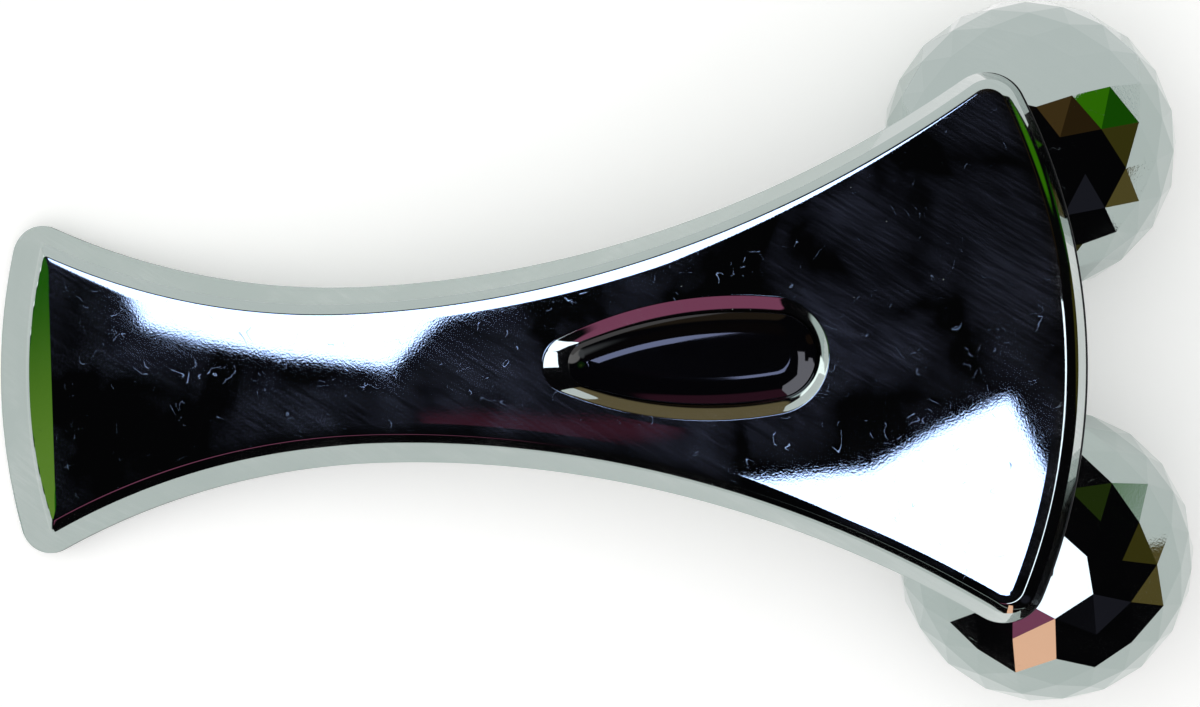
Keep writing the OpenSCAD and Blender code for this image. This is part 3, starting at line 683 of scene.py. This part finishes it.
def globe(radius, steps):
    """Sphere about the hub: p runs from the pole and q round it, as (sin p cos q, sin p sin q, cos p)."""
    p, q = np.meshgrid(np.linspace(0, np.pi, steps), np.linspace(0, 2 * np.pi, 2 * steps), indexing="ij")
    unit = np.stack([np.sin(p) * np.cos(q), np.sin(p) * np.sin(q), np.cos(p)], axis=-1)
    return np.array((HUB_X, 0, 0)) + radius * unit


def rod(start, direction, radius, s0, s1, steps=48):
    """Closed cylinder: start + s d + r (cos a u + sin a v), where u and v stand square to the direction d.
    The first and last rows have no radius, so they close the ends."""
    d = np.array(direction) / np.linalg.norm(direction)
    u = np.cross(d, (0.3, 1, 0.1))
    u /= np.linalg.norm(u)
    v = np.cross(d, u)
    angle = np.linspace(0, 2 * np.pi, steps + 1)
    circle = np.cos(angle)[:, None] * u + np.sin(angle)[:, None] * v
    return np.array([np.array(start) + s * d + r * circle
                     for s, r in ((s0, 0), (s0, radius), (s1, radius), (s1, 0))])


def shaped(piece, tool, operation):
    """Joins or cuts a piece with another solid and deletes the tool."""
    change = piece.modifiers.new(operation, "BOOLEAN")
    change.operation = operation
    change.object = tool
    change.solver = "EXACT"
    bpy.context.view_layer.objects.active = piece
    bpy.ops.object.modifier_apply(modifier=change.name)
    bpy.data.objects.remove(tool)


# The bend angles start close together, so that the belly leaves the seam without a step.
TOP_Z = -RIM_DROP - SEAL_T / 2
bends = np.concatenate([[BELLY_BEND[0]], np.linspace(BELLY_BEND[1], np.pi / 2, BELLY_STEPS)])
outer = bowl(0, TOP_Z, SEAL_T / 2, bends)
inner = bowl(WALL, TOP_Z, WALL, np.linspace(0, np.pi / 2, LINING_STEPS))
lip = np.array([ring(outline(0, WALL), TOP_Z), ring(outline(0, LINING_HEM), TOP_Z), outer[0]])
lower = surface("lower_shell_skin", lay(outer), lay(inner), lay(lip), lay(closing(outer[-1], FILL_STEPS)),
                lay(closing(inner[-1], FILL_STEPS)))
dome = surface("dome", lay(globe(DOME_R, DOME_STEPS)))
hub = (HUB_X, 0, 0)
trim = surface("trim", lay(rod(hub, (0, 0, 1), TRIM_R, TOP_Z - BELLY_HEAD / 2, TRIM_TOP)))
shaped(dome, trim, "DIFFERENCE")
shaped(lower, dome, "UNION")
shaped(lower, surface("hollow", lay(globe(DOME_R - DOME_WALL, HOLLOW_STEPS))), "DIFFERENCE")
for hand in (1, -1):
    out_along = (np.cos(DROOP) * np.cos(SPLAY), hand * np.cos(DROOP) * np.sin(SPLAY), -np.sin(DROOP))
    seat = rod(hub, out_along, COLLAR_R + COLLAR_GAP, LAND_S, PAST_SHELL, DOME_STEPS)
    shaped(lower, surface("seat", lay(seat)), "DIFFERENCE")
    bore = rod(hub, out_along, AXLE_BORE_R, ROOT_S, PAST_SHELL)
    shaped(lower, surface("bore", lay(bore)), "DIFFERENCE")

# The screw holes: two on the middle line and two pairs by the head, at a share of the half width.
plug_places = [(x, 0) for x in MIDDLE_POSTS_X]
plug_places += [(HUB_X + dx, hand * share * half_width(HUB_X + dx))
                for dx, share in HEAD_POSTS for hand in (1, -1)]
for x, y in plug_places:
    hole = rod((x, y, 0), (0, 0, -1), PLUG_R + PLUG_GAP, RIM_DROP + belly(x) - PLUG_DEEP, PAST_SHELL)
    shaped(lower, surface("hole", lay(hole)), "DIFFERENCE")

# The flat at the tail: whatever would lie below the table is pressed up to it.
co = np.empty(len(lower.data.vertices) * 3, np.float32)
lower.data.vertices.foreach_get("co", co)
co = co.reshape(-1, 3)
co[:, 2] = np.maximum(co[:, 2], 0)
lower.data.vertices.foreach_set("co", co.ravel())
lower.data.shade_smooth()
lower.data.set_sharp_from_angle(angle=np.radians(LOWER_SHARP))
lower.data.materials.append(shell_chrome)
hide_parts("lower_shell")
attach(lower, "handle")

# Window
# A cast acrylic lens, black to the eye, domed and polished, that covers the light cell.
# It drops into a soft black gasket, which leaves a thin dark line all round.
# From its edge to CROWN_IN inside it, the lens rises as 1 - (1 - t)^2.
LENS_CROWN = 0.4
LENS_EDGE = -0.42
CROWN_IN = 3.4
CROWN_STEPS = 16
CROWN_FILL = 9
BASE_FILL = 5
SEAT_Z = -2.6
LENS_SHARP = 50
rows = [ring(window_line(0), SEAT_Z), ring(window_line(0), LENS_EDGE)]
for t in np.linspace(0, 1, CROWN_STEPS)[1:]:
    rows.append(ring(window_line(-CROWN_IN * t), LENS_EDGE + (LENS_CROWN - LENS_EDGE) * (1 - (1 - t) ** 2)))
crown = closing(rows[-1], CROWN_FILL)
base = closing(rows[0], BASE_FILL)
lens = surface("window_lens", lay(np.array(rows)), lay(crown), lay(base))
lens.data.shade_smooth()
lens.data.set_sharp_from_angle(angle=np.radians(LENS_SHARP))

# Black cast acrylic: a wet-looking gloss over full black, with the faintest unevenness.
ACRYLIC = "040406"
ACRYLIC_IOR = 1.49
ACRYLIC_ROUGH = (0.02, 0.07)
UNEVEN_MM = 6
acrylic, tree, out = blank_material("black_cast_acrylic")
place = add(tree, "ShaderNodeTexCoord").outputs["Object"]
uneven = add(tree, "ShaderNodeTexNoise", {"Vector": place, "Scale": 1 / (UNEVEN_MM * MM), "Detail": 2.0})
rough = add(tree, "ShaderNodeMapRange", {"Value": uneven.outputs["Fac"], "To Min": ACRYLIC_ROUGH[0],
            "To Max": ACRYLIC_ROUGH[1]})
gloss = add(tree, "ShaderNodeBsdfPrincipled", {"Base Color": linear(ACRYLIC), "IOR": ACRYLIC_IOR,
            "Roughness": rough.outputs[0]})
tree.links.new(gloss.outputs[0], out.inputs["Surface"])
lens.data.materials.append(acrylic)
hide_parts("solar_window")
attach(lens, "handle")

# Balls and trim
# Each ball is two chrome-plated ABS halves of flat triangular facets, bonded round a bearing tube.
# The collars and the screw plugs carry the same plate. Hands touch all of these less, so they smear less.
facet_chrome = plated("chrome_plated_abs_facets", smear=0.5, grain=0.002, dust=0.05)
trim_chrome = plated("chrome_plated_trim", smear=0.3, grain=0.001, dust=0.02)


def dress(names, material):
    """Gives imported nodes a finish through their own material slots."""
    for name in names:
        slots = frame["nodes"][name].data.materials
        slots.clear()
        slots.append(material)


dress(("ball_inner_left", "ball_inner_right", "ball_outer_left", "ball_outer_right"), facet_chrome)
dress(("collar_left", "collar_right", "screw_plugs"), trim_chrome)

# Seals and gaskets
# Black silicone, moulded with a dull skin: the parting seal, the window's gasket and the axle seals.
# The parting seal is clamped between the shells. It shows as a thin dark line. At the head its lip stands
# out a little as a black band, which is partly the seal and partly painted shade for the gap at the parting
# line.
CLOUD_GRAINS = 4


def plain(name, hexcode, metallic, rough, grain):
    """A moulded or cast surface: even colour, a roughness that clouds between two values over a few grains,
    and a grain given by its size and depth in millimetres."""
    grain_mm, grain_deep = grain
    material, tree, out = blank_material(name)
    place = add(tree, "ShaderNodeTexCoord").outputs["Object"]
    cloud = add(tree, "ShaderNodeTexNoise", {"Vector": place, "Scale": 1 / (CLOUD_GRAINS * grain_mm * MM)})
    dull = add(tree, "ShaderNodeMapRange", {"Value": cloud.outputs["Fac"], "To Min": rough[0],
               "To Max": rough[1]})
    pits = add(tree, "ShaderNodeTexNoise", {"Vector": place, "Scale": 1 / (grain_mm * MM), "Detail": 3.0})
    bumps = add(tree, "ShaderNodeBump", {"Height": pits.outputs["Fac"], "Distance": grain_deep * MM})
    shader = add(tree, "ShaderNodeBsdfPrincipled", {"Base Color": linear(hexcode), "Metallic": metallic,
                 "Roughness": dull.outputs[0], "Normal": bumps.outputs[0]})
    tree.links.new(shader.outputs[0], out.inputs["Surface"])
    return material


# How far the black lip stands out at the head: partly the seal, partly painted shade of the parting gap.
SHADE_LIP_OUT = 0.12
LIP_LEAST = -0.02
LIP_FROM = HANDLE_L - 14
LIP_EASE = 8
LIP_Z = 0.08
SHOULDER_OUT = 0.8
SHOULDER_Z = 0.24
SEAL_IN = 1.4
silicone = plain("black_silicone", "0A0A0B", metallic=0.0, rough=(0.45, 0.65), grain=(0.6, 0.01))
dress(("window_gasket", "axle_seal_left", "axle_seal_right"), silicone)
near, far = outline(0, -LIP_LEAST), outline(0, -SHADE_LIP_OUT)
lip = near + ease((near[:, 0] - LIP_FROM) / LIP_EASE)[:, None] * (far - near)
edge = outline(0, 0)
back = outline(0, SEAL_IN)
shoulder = edge + SHOULDER_OUT * (lip - edge)
above = [(back, SEAL_T / 2), (edge, SEAL_T / 2), (shoulder, SHOULDER_Z), (lip, LIP_Z)]
below = [(line, -z) for line, z in above[::-1]]
seal = [ring(line, z - RIM_DROP) for line, z in (*above, *below, above[0])]
seal = surface("parting_seal_and_gap_shade", lay(np.array(seal)))
seal.data.shade_smooth()
seal.data.materials.append(silicone)
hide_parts("parting_seal")
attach(seal, "handle")

# Inside pieces
# Steel axles, screws and clips with a zinc skin; a diecast block; nylon bushes and washers; a resin-faced
# light cell with amber tape; two insulated leads that end in brass lugs.
zinc = plain("zinc_plated_steel", "A9ABAE", metallic=1.0, rough=(0.25, 0.4), grain=(0.5, 0.004))
diecast = plain("diecast_zinc", "8E9092", metallic=1.0, rough=(0.4, 0.6), grain=(1.2, 0.02))
nylon = plain("white_nylon", "E4E3DA", metallic=0.0, rough=(0.4, 0.55), grain=(0.9, 0.01))
resin = plain("cell_resin", "2A1A26", metallic=0.0, rough=(0.1, 0.2), grain=(2.0, 0.004))
film_tape = plain("amber_tape", "C58F2E", metallic=0.0, rough=(0.3, 0.45), grain=(1.5, 0.01))
red_cover = plain("red_wire_cover", "A8241C", metallic=0.0, rough=(0.35, 0.5), grain=(0.5, 0.005))
black_cover = plain("black_wire_cover", "1A1A1B", metallic=0.0, rough=(0.35, 0.5), grain=(0.5, 0.005))
brass = plain("stamped_brass", "C9A45A", metallic=1.0, rough=(0.2, 0.35), grain=(0.6, 0.004))
dress(("axle_left", "axle_right", "terminal_screw", "block_screws", "shell_screws", "grub_screw_left",
       "grub_screw_right", "clip_left", "clip_right"), zinc)
dress(("axle_block",), diecast)
dress(("bush_inner_left", "bush_inner_right", "bush_outer_left", "bush_outer_right", "washer_left",
       "washer_right"), nylon)
dress(("solar_cell",), resin)
dress(("cell_tape",), film_tape)
dress(("lead_positive",), red_cover)
dress(("lead_negative",), black_cover)
dress(("block_lug", "shell_lug"), brass)
